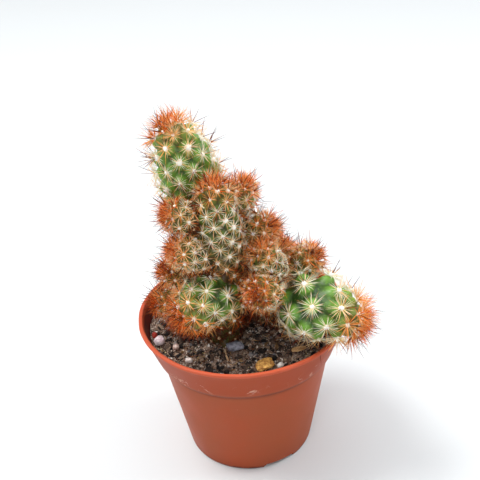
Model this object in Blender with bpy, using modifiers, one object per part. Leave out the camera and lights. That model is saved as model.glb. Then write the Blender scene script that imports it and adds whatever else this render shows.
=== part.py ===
"""A clump-forming cactus of many short spiny stems, planted in a thin round plastic nursery pot.

Metres, +Z up. The pot stands on z = 0 with its axis vertical, and its front, the side the trailing
stem leans out of, faces -Y. Dimensions below are in millimetres, measured from the pot's axis at the
level it stands on. At the end the whole plant is shifted so that the origin lies at the middle of its
bounding box, at the bottom.
"""
import math

import bmesh
import bpy
import numpy as np
from mathutils import Matrix, Vector, geometry, noise

MM = 0.001
OBJECT_NAME = "potted_clump_cactus"

# ---------------------------------------------------------------- pot, a standard 8.5 cm nursery pot
RIM_R = 42.5           # outside radius of the rolled lip
POT_H = 63.5           # height to the top of the lip
LIP_W = 1.75           # width of the lip bead
LIP_H = 1.55           # height of the lip bead
WALL = 1.05            # wall thickness
COLLAR_TOP_R = 41.7    # collar, outside, just under the lip
COLLAR_LOW_R = 37.1    # collar, outside, at its lower edge
COLLAR_LOW_Z = 49.0
SHOULDER_R = 34.75     # body, outside, just under the rounded step
SHOULDER_Z = 45.8
BASE_R = 25.9          # outside radius of the foot ring
FOOT_W = 1.3           # width of the foot ring
FOOT_H = 2.1           # height of the base plate above the surface the pot stands on
PLATE_T = 1.2
POT_SEGMENTS = 48
DRAIN_HOLES = 6
DRAIN_R = 3.0
DRAIN_PITCH_R = 14.5
NOTCHES = 3            # shallow gaps in the foot ring that let water out
NOTCH_W = 14.0
NOTCH_H = 1.9
NOTCH_START_DEG = -64.5

# ---------------------------------------------------------------- potting soil
SOIL_Z = 57.2          # mean level of the surface
SOIL_ROUGH = 0.75      # height of its lumps
SOIL_MOUND = 1.0       # how far it rises round the roots
SOIL_GAP = 0.35        # clear of the pot wall
SOIL_RINGS = 11
SOIL_SEGMENTS = 40
ROOT_Z = 53.5          # the stems' lower ends, just under the surface

# ---------------------------------------------------------------- stems
GAP = 0.4              # clear of the neighbouring stems
TUBERCLE_DEPTH = 0.2  # depth of the valleys between tubercles, as a share of their spacing
GOLDEN = math.pi * (3.0 - math.sqrt(5.0))
BASE_SIDES = 9

# name, spacing of the tubercles, then x, y, z and radius along the middle of the stem from its lower
# end to the middle of the dome that carries the growing tip. The first eleven are rooted in the soil,
# and the offsets after them sprout from the side of a stem.
STEMS = [
    ("stem_tall", 7.6, [(-1.0, 10.0, 53.5, 6.0), (-2.5, 9.6, 66.0, 7.6), (-6.2, 8.5, 80.0, 9.2), (-9.6, 7.8, 92.0, 10.3),
                        (-13.9, 6.5, 109.0, 11.7), (-17.0, 5.0, 124.0, 11.8), (-18.8, 4.0, 132.5, 10.9),
                        (-20.0, 3.2, 137.2, 9.4)]),
    ("stem_middle", 6.2, [(-2.0, -2.0, 53.5, 4.2), (-3.6, -4.6, 72.0, 5.2), (-5.4, -7.6, 84.0, 7.2),
                          (-5.8, -9.0, 96.0, 8.2), (-6.8, -10.0, 110.0, 8.4), (-7.0, -10.2, 120.2, 6.9)]),
    ("stem_front", 7.2, [(-8.6, -9.8, 53.5, 5.5), (-8.0, -10.8, 66.0, 7.6), (-9.0, -13.2, 77.0, 10.2),
                         (-12.6, -16.8, 81.4, 10.3), (-16.6, -20.2, 80.6, 8.8)]),
    ("stem_trailing_right", 8.6, [(18.0, -6.0, 53.5, 5.0), (21.5, -10.5, 64.5, 8.0), (26.4, -16.6, 74.0, 13.2),
                                  (31.2, -21.0, 76.0, 12.8), (35.2, -23.4, 75.2, 10.0)]),
    ("stem_right_back", 5.4, [(19.5, 7.0, 53.5, 4.2), (20.5, 6.0, 68.0, 5.0), (22.8, 3.2, 78.5, 7.0), (25.6, 1.6, 82.6, 6.8)]),
    ("stem_right_middle", 5.2, [(11.5, 1.0, 53.5, 3.8), (12.0, -2.0, 70.0, 4.4), (11.8, -7.0, 82.0, 5.6),
                                (11.0, -11.0, 90.0, 6.8), (9.5, -13.5, 97.0, 5.8)]),
    ("stem_right_front", 5.2, [(9.0, -2.0, 53.5, 3.4), (9.3, -4.0, 66.0, 3.8), (9.4, -11.0, 77.0, 5.2),
                               (9.2, -17.5, 83.5, 7.0), (7.6, -21.3, 86.0, 6.4)]),
    ("stem_left", 4.8, [(-13.5, 9.5, 53.5, 3.6), (-14.5, 7.0, 66.0, 4.0), (-17.5, 2.0, 75.5, 4.8), (-21.6, -2.8, 82.5, 5.8),
                        (-25.4, -5.5, 86.5, 5.0)]),
    ("stem_left_low", 5.0, [(-20.5, 1.5, 53.5, 4.2), (-21.5, 0.5, 62.0, 4.8), (-25.5, -2.0, 69.5, 6.2),
                            (-29.3, -4.0, 72.0, 5.3)]),
    ("stem_back_left", 6.2, [(-9.0, 23.0, 53.5, 5.0), (-9.5, 23.5, 62.0, 6.8), (-10.5, 24.0, 69.0, 7.5),
                             (-12.0, 25.0, 73.0, 6.2)]),
    ("stem_back_right", 6.0, [(13.0, 21.0, 53.5, 4.6), (13.5, 21.5, 61.0, 6.4), (14.5, 22.0, 66.5, 7.0),
                              (16.0, 23.0, 70.0, 5.8)]),
    ("offset_crown", 4.6, [(-3.5, -2.5, 106.0, 4.0), (-0.6, -4.0, 113.0, 5.8), (1.9, -4.8, 118.6, 5.7)]),
    ("offset_left_upper", 4.6, [(-14.6, -5.0, 108.0, 4.2), (-16.6, -9.0, 112.4, 6.6), (-20.4, -11.3, 115.0, 5.9)]),
    ("offset_left_middle", 4.6, [(-13.8, -8.5, 91.5, 3.8), (-15.6, -13.6, 99.4, 6.6), (-19.4, -16.6, 103.0, 6.0)]),
    ("offset_right_upper", 5.0, [(0.2, -2.5, 92.5, 4.6), (4.8, -3.6, 99.2, 7.7), (8.2, -6.0, 102.6, 7.2)]),
    ("offset_right_small", 4.2, [(16.4, 5.0, 79.0, 3.0), (16.8, 2.0, 85.6, 4.6), (16.8, 0.6, 88.8, 4.3)]),
]

# ---------------------------------------------------------------- what lies loose on the soil
# name, place, half sizes, turn about Z in degrees, seed, squareness
GRAINS = [
    ("stone_grey", (-4.0, -18.8), (3.7, 2.4, 1.7), 12.0, 3, 0.10),
    ("bark_chip", (7.0, -30.2), (4.2, 3.2, 1.0), 35.0, 5, 0.30),
    ("quartz_left", (-34.0, -11.6), (2.1, 2.2, 1.7), 20.0, 8, 0.25),
    ("quartz_small", (-27.3, -15.7), (1.5, 1.3, 1.1), 70.0, 11, 0.25),
    ("brick_bit", (-36.0, -6.8), (1.2, 1.5, 1.2), 15.0, 13, 0.30),
    ("perlite_front", (-22.1, -24.5), (1.5, 1.2, 1.0), 0.0, 17, 0.15),
    ("perlite_right", (13.0, -31.0), (1.4, 1.1, 0.9), 40.0, 19, 0.15),
    ("husk", (20.8, -22.0), (3.0, 1.3, 0.55), 8.0, 23, 0.35),
]
STRAW = [(-8.0, -19.4), (-7.8, -21.5), (-7.4, -24.0), (-6.9, -26.2)]   # a dry fallen spine
STRAW_R = 0.36

COLOURS = {  # base colour, roughness
    "pot": ((0.40, 0.095, 0.036), 0.42),
    "soil": ((0.035, 0.024, 0.018), 0.95),
    "stem": ((0.075, 0.16, 0.045), 0.55),
    "tip": ((0.42, 0.10, 0.03), 0.65),
    "stone_grey": ((0.30, 0.30, 0.33), 0.8),
    "bark_chip": ((0.52, 0.27, 0.08), 0.85),
    "quartz_left": ((0.75, 0.66, 0.66), 0.5),
    "quartz_small": ((0.62, 0.48, 0.42), 0.5),
    "brick_bit": ((0.35, 0.04, 0.03), 0.85),
    "perlite_front": ((0.70, 0.68, 0.66), 0.9),
    "perlite_right": ((0.72, 0.70, 0.66), 0.9),
    "husk": ((0.55, 0.36, 0.20), 0.85),
    "straw": ((0.62, 0.45, 0.30), 0.8),
}


# ================================================================ scene helpers
for old in list(bpy.data.objects):
    bpy.data.objects.remove(old, do_unlink=True)

parts = bpy.data.collections.new(OBJECT_NAME)
cutters = bpy.data.collections.new("cutters")
bpy.context.scene.collection.children.link(parts)
bpy.context.scene.collection.children.link(cutters)

origin = bpy.data.objects.new("origin", None)
parts.objects.link(origin)


def material(key):
    colour, rough = COLOURS[key]
    mat = bpy.data.materials.get(key) or bpy.data.materials.new(key)
    mat.use_nodes = True
    shader = mat.node_tree.nodes["Principled BSDF"]
    shader.inputs["Base Color"].default_value = (*colour, 1.0)
    shader.inputs["Roughness"].default_value = rough
    shader.inputs["Metallic"].default_value = 0.0
    mat.diffuse_color = (*colour, 1.0)
    return mat


def add_part(name, mesh, mat_key):
    obj = bpy.data.objects.new(name, mesh)
    mesh.materials.clear()
    mesh.materials.append(material(mat_key))
    parts.objects.link(obj)
    obj.parent = origin
    return obj


def add_cutter(name, mesh):
    obj = bpy.data.objects.new(name, mesh)
    obj.hide_render = True
    obj.display_type = 'WIRE'
    cutters.objects.link(obj)
    obj.parent = origin
    return obj


def cut(obj, cutter):
    mod = obj.modifiers.new(cutter.name, 'BOOLEAN')
    mod.operation = 'DIFFERENCE'
    mod.solver = 'EXACT'
    mod.object = cutter


def mesh_from(bm, name):
    bmesh.ops.recalc_face_normals(bm, faces=bm.faces)
    if bm.calc_volume(signed=True) < 0.0:
        bmesh.ops.reverse_faces(bm, faces=bm.faces)
    mesh = bpy.data.meshes.new(name)
    bm.to_mesh(mesh)
    bm.free()
    return mesh


def turned(name, profile, segments):
    """A body turned about Z from an open profile whose ends lie on the axis."""
    mesh = bpy.data.meshes.new(name)
    verts = [(r * MM, 0.0, z * MM) for r, z in profile]
    mesh.from_pydata(verts, [(i, i + 1) for i in range(len(verts) - 1)], [])
    obj = bpy.data.objects.new(name, mesh)
    bpy.context.scene.collection.objects.link(obj)
    screw = obj.modifiers.new("turn", 'SCREW')
    screw.axis = 'Z'
    screw.angle = math.tau
    screw.steps = segments
    screw.render_steps = segments
    screw.use_merge_vertices = True
    screw.merge_threshold = 0.00005
    screw.use_smooth_shade = True
    done = bpy.data.meshes.new_from_object(obj.evaluated_get(bpy.context.evaluated_depsgraph_get()))
    bpy.data.objects.remove(obj, do_unlink=True)
    bm = bmesh.new()
    bm.from_mesh(done)
    bmesh.ops.remove_doubles(bm, verts=bm.verts, dist=0.00002)
    return bm


# ================================================================ pot
def pot_outer():
    """The outside of the pot from the lip down to the foot."""
    return [
        (RIM_R - LIP_W, POT_H - 0.45), (RIM_R - LIP_W + 0.35, POT_H - 0.05), (RIM_R - 0.4, POT_H), (RIM_R, POT_H - 0.4),
        (RIM_R, POT_H - LIP_H + 0.35), (RIM_R - 0.35, POT_H - LIP_H), (COLLAR_TOP_R, POT_H - LIP_H - 0.25),
        (COLLAR_LOW_R, COLLAR_LOW_Z), (COLLAR_LOW_R - 0.35, COLLAR_LOW_Z - 0.9), (COLLAR_LOW_R - 1.1, COLLAR_LOW_Z - 1.7),
        (SHOULDER_R + 0.4, SHOULDER_Z + 0.9), (SHOULDER_R, SHOULDER_Z),
        (BASE_R + 0.3, 1.2), (BASE_R, 0.3), (BASE_R - 0.25, 0.0),
    ]


def wall_inside():
    """The inside of the wall from the base plate up to the lip."""
    t = WALL
    return [
        (BASE_R - 0.4, FOOT_H + PLATE_T), (SHOULDER_R - t, SHOULDER_Z + 0.4), (SHOULDER_R - t + 0.5, SHOULDER_Z + 1.6),
        (SHOULDER_R - t + 1.3, SHOULDER_Z + 2.3), (COLLAR_LOW_R - 1.4, COLLAR_LOW_Z - 0.1), (COLLAR_LOW_R - t, COLLAR_LOW_Z + 0.6),
        (COLLAR_TOP_R - t + 0.05, POT_H - 0.9),
    ]


def inside_radius(z):
    """Radius of the pot's inside at height z."""
    pts = wall_inside()
    return float(np.interp(z, [p[1] for p in pts], [p[0] for p in pts]))


def make_pot():
    foot_in = BASE_R - 0.25 - FOOT_W + 0.25
    profile = [(0.0, FOOT_H + PLATE_T)] + wall_inside() + pot_outer() + [(foot_in, 0.0), (foot_in + 0.1, FOOT_H), (0.0, FOOT_H)]
    pot = add_part("pot", mesh_from(turned("pot", profile, POT_SEGMENTS), "pot"), "pot")
    for i in range(DRAIN_HOLES):
        a = math.tau * (i + 0.5) / DRAIN_HOLES
        bm = bmesh.new()
        bmesh.ops.create_cone(bm, cap_ends=True, segments=12, radius1=DRAIN_R * MM, radius2=DRAIN_R * MM, depth=6 * MM)
        bmesh.ops.translate(bm, verts=bm.verts, vec=(DRAIN_PITCH_R * math.cos(a) * MM, DRAIN_PITCH_R * math.sin(a) * MM, (FOOT_H + PLATE_T / 2) * MM))
        cut(pot, add_cutter("drain_%d" % i, mesh_from(bm, "drain_%d" % i)))
    for i in range(NOTCHES):
        a = math.radians(NOTCH_START_DEG + 360.0 * i / NOTCHES)
        bm = bmesh.new()
        bmesh.ops.create_cube(bm, size=1.0)
        for v in bm.verts:
            v.co = Vector((v.co.x * 5.0 * MM, v.co.y * NOTCH_W * MM, (v.co.z * (NOTCH_H + 1.0) + (NOTCH_H - 1.0) / 2) * MM))
            v.co.x += (BASE_R - 0.6) * MM
        bm.transform(Matrix.Rotation(a, 4, 'Z'))
        cut(pot, add_cutter("notch_%d" % i, mesh_from(bm, "notch_%d" % i)))
    pot.data.shade_smooth()
    pot.data.set_sharp_from_angle(angle=math.radians(35))
    return pot


# ================================================================ stems
PER_ROW = 12           # points of a stem's middle line between two rows


def catmull(rows, per=PER_ROW):
    """A smooth curve through the rows of x, y, z and radius."""
    p = np.array(rows, float)
    p = np.vstack([2 * p[0] - p[1], p, 2 * p[-1] - p[-2]])
    out = []
    for i in range(1, len(p) - 2):
        for k in range(per):
            t = k / per
            out.append(0.5 * ((2 * p[i]) + (-p[i - 1] + p[i + 1]) * t + (2 * p[i - 1] - 5 * p[i] + 4 * p[i + 1] - p[i + 2]) * t * t
                              + (-p[i - 1] + 3 * p[i] - 3 * p[i + 1] + p[i + 2]) * t ** 3))
    out.append(p[-2])
    return np.array(out)


class Stem:
    def __init__(self, name, spacing, rows):
        self.name, self.spacing = name, spacing
        line = catmull(rows)
        self.line = line
        seg = np.linalg.norm(np.diff(line[:, :3], axis=0), axis=1)
        self.a = np.concatenate([[0.0], np.cumsum(seg)])
        self.length = float(self.a[-1])
        tangent = np.gradient(line[:, :3], axis=0)
        tangent /= np.linalg.norm(tangent, axis=1)[:, None]
        side = np.cross(tangent[0], (0.0, 1.0, 0.13))
        sides = []
        for t in tangent:
            side = side - t * side.dot(t)
            side = side / np.linalg.norm(side)
            sides.append(side)
        self.tangent, self.side = tangent, np.array(sides)
        self.tip_r = float(line[-1, 3])

    def frame(self, a):
        """Middle, radius, direction and the two cross directions at a distance a along the stem."""
        a = min(max(a, 0.0), self.length)
        i = min(int(np.searchsorted(self.a, a, side='right')) - 1, len(self.a) - 2)
        f = (a - self.a[i]) / (self.a[i + 1] - self.a[i])
        row = self.line[i] * (1 - f) + self.line[i + 1] * f
        t = self.tangent[i] * (1 - f) + self.tangent[i + 1] * f
        t /= np.linalg.norm(t)
        s = self.side[i] * (1 - f) + self.side[i + 1] * f
        s -= t * s.dot(t)
        s /= np.linalg.norm(s)
        return row[:3], row[3], t, s, np.cross(t, s)

    def lattice(self):
        """Tubercle tips on a golden-angle spiral from the growing tip down, each with an equal share of
        the skin: their turn about the stem, distance along it, radius, and a plane map for joining them."""
        cell = 0.866 * self.spacing ** 2
        dome = math.tau * self.tip_r ** 2
        steps = np.linspace(self.length, 0.0, 400)
        radii = np.array([self.frame(s)[1] for s in steps])
        da = np.abs(np.diff(steps))
        mid = 0.5 * (radii[1:] + radii[:-1])
        area = np.concatenate([[0.0], np.cumsum(math.tau * mid * da)]) + dome
        chart = np.concatenate([[0.0], np.cumsum(da / mid)])
        pts, k = [], 0
        while (k + 0.55) * cell < area[-1] - 0.35 * cell:
            share, turn = (k + 0.55) * cell, k * GOLDEN
            if share < dome:
                phi = math.acos(1.0 - share / dome)
                pts.append((turn, self.length + self.tip_r * math.cos(phi), self.tip_r * math.sin(phi), math.tan(phi / 2)))
            else:
                pts.append((turn, float(np.interp(share, area, steps)), float(np.interp(share, area, radii)),
                            math.exp(float(np.interp(share, area, chart)))))
            k += 1
        low = math.exp(chart[-1]) * 1.02
        ring = [(math.tau * (i + 0.3) / BASE_SIDES, 0.0, radii[-1], low) for i in range(BASE_SIDES)]
        return pts, ring

    def place(self, turn, a, rho):
        centre, _, t, s, u = self.frame(a)
        over = max(a - self.length, 0.0)
        return centre + t * over + (s * math.cos(turn) + u * math.sin(turn)) * rho

    def build(self):
        pts, ring = self.lattice()
        chart = [Vector((m * math.cos(th), m * math.sin(th))) for th, _, _, m in pts + ring]
        flat, _, tris, *_ = geometry.delaunay_2d_cdt(chart, [], [], 0, 1e-9)
        assert len(flat) == len(chart)
        bm = bmesh.new()
        for th, a, rho, _ in pts + ring:
            bm.verts.new(self.place(th, a, rho))
        bm.verts.ensure_lookup_table()
        skin = [bm.faces.new([bm.verts[i] for i in tri]) for tri in tris]
        first = len(pts)
        bm.faces.new([bm.verts[first + i] for i in reversed(range(BASE_SIDES))])
        bmesh.ops.recalc_face_normals(bm, faces=bm.faces)
        # the valley between each three tubercles
        bmesh.ops.poke(bm, faces=skin, offset=-TUBERCLE_DEPTH * self.spacing, center_mode='MEAN')
        for v in bm.verts:
            v.co.z = max(v.co.z, over_rim(math.hypot(v.co.x, v.co.y), v.co.z))
        slice_off(bm, Vector((0.0, 0.0, ROOT_Z)), Vector((0.0, 0.0, 1.0)))
        keep_largest(bm)
        bmesh.ops.triangulate(bm, faces=bm.faces)
        bmesh.ops.dissolve_degenerate(bm, dist=0.01, edges=bm.edges)
        bmesh.ops.triangulate(bm, faces=bm.faces)
        bmesh.ops.scale(bm, vec=(MM, MM, MM), verts=bm.verts)
        return mesh_from(bm, self.name)

    def presses_on(self, other):
        """The stretches of a neighbour, between its rows, that this stem would run into."""
        found = []
        for i in range(0, len(other.line) - 1, PER_ROW):
            c = other.line[i:i + PER_ROW + 1]
            gap = np.linalg.norm(self.line[None, :, :3] - c[:, None, :3], axis=2) - self.line[None, :, 3] - c[:, None, 3]
            if gap.min() < GAP + 0.1:
                found.append((i // PER_ROW, c[::3]))
        return found


def swept_hull(rows, extra):
    """A convex body round a short stretch of a stem."""
    hull = bmesh.new()
    for x, y, z, r in rows:
        for u in range(7):
            for v in range(12):
                phi, th = math.pi * u / 6, math.tau * (v + 0.5 * (u % 2)) / 12
                d = Vector((math.sin(phi) * math.cos(th), math.sin(phi) * math.sin(th), math.cos(phi)))
                hull.verts.new(Vector((x, y, z)) + d * ((r + extra) * 1.045))
    bmesh.ops.remove_doubles(hull, verts=hull.verts, dist=0.02)
    out = bmesh.ops.convex_hull(hull, input=hull.verts)
    inside = {v for v in out['geom_interior'] + out['geom_unused'] if isinstance(v, bmesh.types.BMVert)}
    bmesh.ops.delete(hull, geom=list(inside), context='VERTS')
    return hull


def over_rim(r, z):
    """The least height at which a stem may lie at distance r from the pot's axis, near the rim."""
    if z < SOIL_Z + 2.0:
        return z
    return float(np.interp(r, [RIM_R - 9.0, RIM_R - 4.5], [SOIL_Z + 2.0, POT_H + 0.8]))


def slice_off(bm, point, normal):
    """Cuts away what lies behind a plane and closes the cut."""
    if min((v.co - point).dot(normal) for v in bm.verts) > -0.01:
        return
    bmesh.ops.bisect_plane(bm, geom=bm.verts[:] + bm.edges[:] + bm.faces[:], dist=0.03, plane_co=point, plane_no=normal, clear_inner=True)
    bmesh.ops.holes_fill(bm, edges=[e for e in bm.edges if e.is_boundary], sides=0)


def keep_largest(bm):
    """Drops crumbs that a cut has parted from the stem."""
    left, groups = set(bm.faces), []
    while left:
        todo, group = [left.pop()], []
        while todo:
            f = todo.pop()
            group.append(f)
            for e in f.edges:
                if len(e.link_faces) == 2:
                    for o in e.link_faces:
                        if o in left:
                            left.discard(o)
                            todo.append(o)
        groups.append(group)
    groups.sort(key=len)
    bmesh.ops.delete(bm, geom=[f for g in groups[:-1] for f in g], context='FACES')


def settle(obj):
    """Applies a stem's cuts and tidies the result."""
    mesh = bpy.data.meshes.new_from_object(obj.evaluated_get(bpy.context.evaluated_depsgraph_get()))
    obj.modifiers.clear()
    bm = bmesh.new()
    bm.from_mesh(mesh)
    bmesh.ops.scale(bm, vec=(1 / MM, 1 / MM, 1 / MM), verts=bm.verts)
    bmesh.ops.remove_doubles(bm, verts=bm.verts, dist=0.01)
    keep_largest(bm)
    bmesh.ops.triangulate(bm, faces=bm.faces)
    bmesh.ops.dissolve_degenerate(bm, dist=0.01, edges=bm.edges)
    bmesh.ops.triangulate(bm, faces=bm.faces)
    bmesh.ops.scale(bm, vec=(MM, MM, MM), verts=bm.verts)
    clean = mesh_from(bm, obj.name)
    for mat in obj.data.materials:
        clean.materials.append(mat)
    obj.data = clean


def make_stems():
    done, objs = [], []
    for name, spacing, rows in STEMS:
        stem = Stem(name, spacing, rows)
        obj = add_part(name, stem.build(), "stem")
        for other in done:
            for i, stretch in stem.presses_on(other):
                key = "press_%s_%d" % (other.name, i)
                cutter = bpy.data.objects.get(key)
                if cutter is None:
                    hull = swept_hull(stretch, GAP)
                    bmesh.ops.scale(hull, vec=(MM, MM, MM), verts=hull.verts)
                    cutter = add_cutter(key, mesh_from(hull, key))
                cut(obj, cutter)
        bpy.context.view_layer.update()
        settle(obj)
        obj.data.shade_smooth()
        obj.data.set_sharp_from_angle(angle=math.radians(50))
        done.append(stem)
        objs.append(obj)
    return done, objs


# ================================================================ soil and what lies on it
def soil_level(x, y):
    d = math.hypot(x - 1.0, y + 1.0)
    lumps = noise.noise(Vector((x * 0.11, y * 0.11, 3.7))) + 0.5 * noise.noise(Vector((x * 0.27, y * 0.27, 9.1)))
    return SOIL_Z + SOIL_ROUGH * lumps + SOIL_MOUND * math.exp(-(d / 20.0) ** 2)


def soil_top(x, y):
    """The surface, levelled under each loose piece."""
    z = soil_level(x, y)
    seats = [((gx, gy), max(hx, hy)) for _, (gx, gy), (hx, hy, _), *_ in GRAINS]
    for (gx, gy), reach in seats:
        d = math.hypot(x - gx, y - gy)
        w = min(max((reach + 4.6 - d) / 1.5, 0.0), 1.0)
        z = z * (1 - w) + min(soil_level(gx, gy), z if w < 1.0 else 99.0) * w
    return z


def make_soil(stems):
    bm = bmesh.new()
    levels = [SOIL_Z - 1.2, COLLAR_LOW_Z + 0.6, SHOULDER_Z + 0.9, 20.0, FOOT_H + PLATE_T + 0.35]
    top_r = inside_radius(SOIL_Z) - SOIL_GAP - 0.25
    rings = []
    for j in range(1, SOIL_RINGS + 1):
        r = top_r * j / SOIL_RINGS
        row = []
        for i in range(SOIL_SEGMENTS):
            th = math.tau * (i + 0.5 * (j % 2)) / SOIL_SEGMENTS
            x, y = r * math.cos(th), r * math.sin(th)
            row.append(bm.verts.new((x * MM, y * MM, soil_top(x, y) * MM)))
        rings.append(row)
    for n, z in enumerate(levels):
        r = inside_radius(z) - SOIL_GAP - 0.1
        shift = 0.5 * (SOIL_RINGS % 2)
        rings.append([bm.verts.new((r * math.cos(math.tau * (i + shift) / SOIL_SEGMENTS) * MM,
                                    r * math.sin(math.tau * (i + shift) / SOIL_SEGMENTS) * MM, z * MM)) for i in range(SOIL_SEGMENTS)])
    middle = bm.verts.new((0.0, 0.0, soil_top(0.0, 0.0) * MM))
    n = SOIL_SEGMENTS
    for i in range(n):
        bm.faces.new((middle, rings[0][i], rings[0][(i + 1) % n]))
    for j, (a, b) in enumerate(zip(rings[:-1], rings[1:])):
        for i in range(n):
            k = (i + 1) % n
            if j < SOIL_RINGS - 1 and (j + 1) % 2:          # ring b is not turned against ring a's half step
                bm.faces.new((a[i], b[i], b[k]))
                bm.faces.new((a[i], b[k], a[k]))
            else:
                bm.faces.new((a[i], b[i], a[k]))
                bm.faces.new((a[k], b[i], b[k]))
    bm.faces.new(list(reversed(rings[-1])))
    soil = add_part("soil", mesh_from(bm, "soil"), "soil")
    # a pocket round the foot of each rooted stem
    for stem in stems:
        if stem.line[0, 2] > SOIL_Z:
            continue
        hull = bmesh.new()
        for row in stem.line[::3]:
            x, y, z, r = row
            if z - r > SOIL_Z + 4.0:
                continue
            for u in range(6):
                for v in range(12):
                    phi, th = math.pi * u / 5, math.tau * v / 12
                    q = Vector((x, y, z)) + Vector((math.sin(phi) * math.cos(th), math.sin(phi) * math.sin(th), math.cos(phi))) * ((r + 0.75) * 1.06)
                    q.z = max(q.z, ROOT_Z - 0.45)
                    hull.verts.new(q * MM)
        bmesh.ops.remove_doubles(hull, verts=hull.verts, dist=0.00002)
        out = bmesh.ops.convex_hull(hull, input=hull.verts)
        bmesh.ops.delete(hull, geom=list({v for v in out['geom_interior'] + out['geom_unused'] if isinstance(v, bmesh.types.BMVert)}), context='VERTS')
        bmesh.ops.dissolve_limit(hull, angle_limit=math.radians(8), verts=hull.verts, edges=hull.edges)
        bmesh.ops.triangulate(hull, faces=hull.faces)
        cut(soil, add_cutter("pocket_" + stem.name, mesh_from(hull, "pocket_" + stem.name)))
    soil.data.shade_smooth()
    return soil


def make_grains():
    for name, (x, y), half, turn, seed, square in GRAINS:
        bm = bmesh.new()
        bmesh.ops.create_icosphere(bm, subdivisions=2, radius=1.0)
        c, s = math.cos(math.radians(turn)), math.sin(math.radians(turn))
        for v in bm.verts:
            p = v.co.copy()
            k = 1.0 + 0.28 * noise.noise(p * 1.3 + Vector((seed, 0.0, 0.0)))
            box = max(abs(p.x), abs(p.y), abs(p.z))
            p = p * k * (1.0 - square + square / max(box, 0.57) * 0.85)
            p = Vector((p.x * half[0], p.y * half[1], p.z * half[2]))
            v.co = Vector((p.x * c - p.y * s, p.x * s + p.y * c, p.z))
        low = min(v.co.z for v in bm.verts)
        for v in bm.verts:
            v.co = Vector((x + v.co.x, y + v.co.y, soil_level(x, y) + 0.4 + v.co.z - low)) * MM
        obj = add_part(name, mesh_from(bm, name), name)
        obj.data.shade_smooth()
        obj.data.set_sharp_from_angle(angle=math.radians(38))


def make_straw():
    curve = bpy.data.curves.new("straw", 'CURVE')
    curve.dimensions = '3D'
    curve.bevel_depth = STRAW_R * MM
    curve.bevel_resolution = 1
    curve.use_fill_caps = True
    spline = curve.splines.new('POLY')
    top = max(soil_top(x + dx, y + dy) for x, y in STRAW for dx in (-2.5, 0, 2.5) for dy in (-2.5, 0, 2.5))
    spline.points.add(len(STRAW) - 1)
    for i, (x, y) in enumerate(STRAW):
        spline.points[i].co = (x * MM, y * MM, (top + STRAW_R + 0.3 + 0.15 * math.sin(i * 1.9)) * MM, 1.0)
    obj = bpy.data.objects.new("straw", curve)
    bpy.context.scene.collection.objects.link(obj)
    mesh = bpy.data.meshes.new_from_object(obj.evaluated_get(bpy.context.evaluated_depsgraph_get()))
    bpy.data.objects.remove(obj, do_unlink=True)
    bm = bmesh.new()
    bm.from_mesh(mesh)
    bmesh.ops.remove_doubles(bm, verts=bm.verts, dist=0.000005)
    piece = add_part("straw", mesh_from(bm, "straw"), "straw")
    piece.data.shade_smooth()


make_pot()
all_stems, _ = make_stems()
make_soil(all_stems)
make_grains()
make_straw()

# ================================================================ origin at the middle of the bounding box, at the bottom
bpy.context.view_layer.update()
graph = bpy.context.evaluated_depsgraph_get()
corners = [obj.matrix_world @ Vector(c) for obj in parts.objects if obj.type == 'MESH' for c in obj.evaluated_get(graph).bound_box]
low = Vector([min(c[i] for c in corners) for i in range(3)])
high = Vector([max(c[i] for c in corners) for i in range(3)])
origin.location = (-(low.x + high.x) / 2, -(low.y + high.y) / 2, -low.z)
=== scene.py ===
"""Looks of a clump-forming cactus in a small plastic nursery pot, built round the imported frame.

The tables below are in millimetres from the pot's axis at the level it stands on; everything is turned
into metres in the row frame when a mesh is made.
"""
import math

import bmesh
import bpy
import numpy as np
from mathutils import Matrix, Vector, noise


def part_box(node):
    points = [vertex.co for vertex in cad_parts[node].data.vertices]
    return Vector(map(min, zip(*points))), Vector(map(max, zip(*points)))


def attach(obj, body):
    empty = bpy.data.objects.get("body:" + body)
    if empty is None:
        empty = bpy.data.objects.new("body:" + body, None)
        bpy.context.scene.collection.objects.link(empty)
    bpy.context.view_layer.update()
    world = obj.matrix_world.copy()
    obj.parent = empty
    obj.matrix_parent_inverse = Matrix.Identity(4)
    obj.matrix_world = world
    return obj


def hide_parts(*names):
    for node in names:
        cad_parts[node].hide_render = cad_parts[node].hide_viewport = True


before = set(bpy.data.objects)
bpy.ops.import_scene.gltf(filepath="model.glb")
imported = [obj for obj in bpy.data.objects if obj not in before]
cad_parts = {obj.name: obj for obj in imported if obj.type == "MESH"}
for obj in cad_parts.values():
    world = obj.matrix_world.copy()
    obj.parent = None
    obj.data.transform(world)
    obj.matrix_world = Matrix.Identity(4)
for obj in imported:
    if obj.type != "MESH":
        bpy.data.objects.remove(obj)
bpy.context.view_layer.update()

MM = 0.001
_lo, _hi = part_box("pot")
AX, AY = (_lo.x + _hi.x) / 2, (_lo.y + _hi.y) / 2      # the pot's axis in the row frame
GOLDEN = math.pi * (3.0 - math.sqrt(5.0))


def rgb(r, g, b):
    """Linear colour from 0 to 255 display values."""
    return tuple((c / 255 / 12.92) if c / 255 <= 0.04045 else ((c / 255 + 0.055) / 1.055) ** 2.4 for c in (r, g, b))


# ================================================================ sizes, as in the CAD model
RIM_R, POT_H, LIP_W, LIP_H, WALL = 42.5, 63.5, 1.75, 1.55, 1.05
COLLAR_TOP_R, COLLAR_LOW_R, COLLAR_LOW_Z = 41.7, 37.1, 49.0
SHOULDER_R, SHOULDER_Z, BASE_R = 34.75, 45.8, 25.9
FOOT_W, FOOT_H, PLATE_T = 1.3, 2.1, 1.2
SOIL_Z, SOIL_ROUGH, SOIL_MOUND, SOIL_GAP = 57.2, 0.75, 1.0, 0.35

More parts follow.
